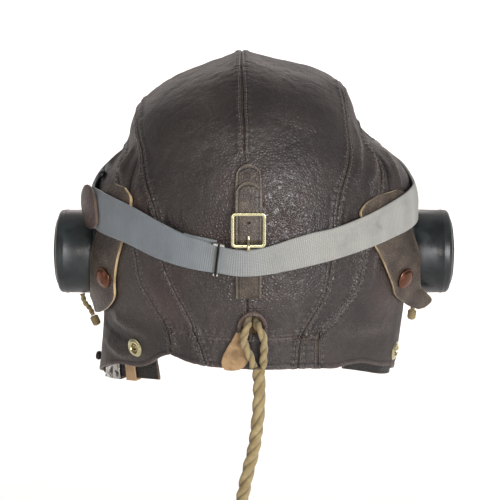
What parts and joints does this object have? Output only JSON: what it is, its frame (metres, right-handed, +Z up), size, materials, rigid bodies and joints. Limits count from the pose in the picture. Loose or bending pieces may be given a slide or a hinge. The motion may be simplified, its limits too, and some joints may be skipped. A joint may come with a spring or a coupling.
{
  "type": "leather flying helmet",
  "caption": "Brown leather flying helmet in its worn form: rubber ear cups, goggle elastic, rear size buckle, chin strap loop and a hanging khaki headset cord with its plug.",
  "frame": {"origin": "top of the wearer's head, under the crown, midway between the ear cups and over their axis", "axes": "+X to the wearer's right, +Y to the wearer's front, +Z up"},
  "size_m": [0.2712, 0.2138, 0.5263],
  "materials": {
    "brown_leather": "dark brown chrome-tanned leather, grained, worn glossy",
    "red_leather": "reddish brown leather, smooth",
    "tan_leather": "tan suede side of the leather",
    "black_leather": "black leather strap, worn",
    "black_rubber": "black moulded rubber, satin",
    "bronzed_brass": "bronzed snap caps, worn glossy",
    "brass": "brass, tarnished in the corners",
    "steel": "nickelled steel, scratched",
    "grey_elastic": "ribbed blue-grey elastic webbing",
    "khaki_cotton": "twisted khaki cotton cord"
  },
  "bodies": {
    "root": {"crown_left": "brown_leather", "crown_right": "brown_leather", "side_left": "brown_leather", "side_right": "brown_leather", "pocket_left": "brown_leather", "pocket_right": "brown_leather", "neck_band": "brown_leather", "ear_tab_left": "brown_leather", "ear_tab_right": "brown_leather", "buckle_patch": "brown_leather", "rear_strap": "brown_leather", "slit_welt": "brown_leather", "strap_tongue_left": "red_leather", "slit_flap": "tan_leather", "strap_keeper": "tan_leather", "chin_strap": "black_leather", "ear_cup_left": "black_rubber", "ear_cup_right": "black_rubber", "tongue_knob_left": "black_rubber", "cheek_knob_left": "black_rubber", "cord_plug": "black_rubber", "snap_cap_left": "bronzed_brass", "snap_cap_right": "bronzed_brass", "cheek_stud_left": "brass", "cheek_stud_right": "brass", "rear_buckle": "brass", "buckle_prong": "brass", "strap_slider": "steel", "chin_buckle": "steel", "goggle_elastic": "grey_elastic", "elastic_fold": "grey_elastic", "cord_branch_left": "khaki_cotton", "cord_branch_right": "khaki_cotton", "cord_main": "khaki_cotton", "ear_lead_left": "khaki_cotton", "ear_lead_right": "khaki_cotton", "lead_knot_left": "khaki_cotton", "lead_knot_right": "khaki_cotton"}
  },
  "joints": []
}
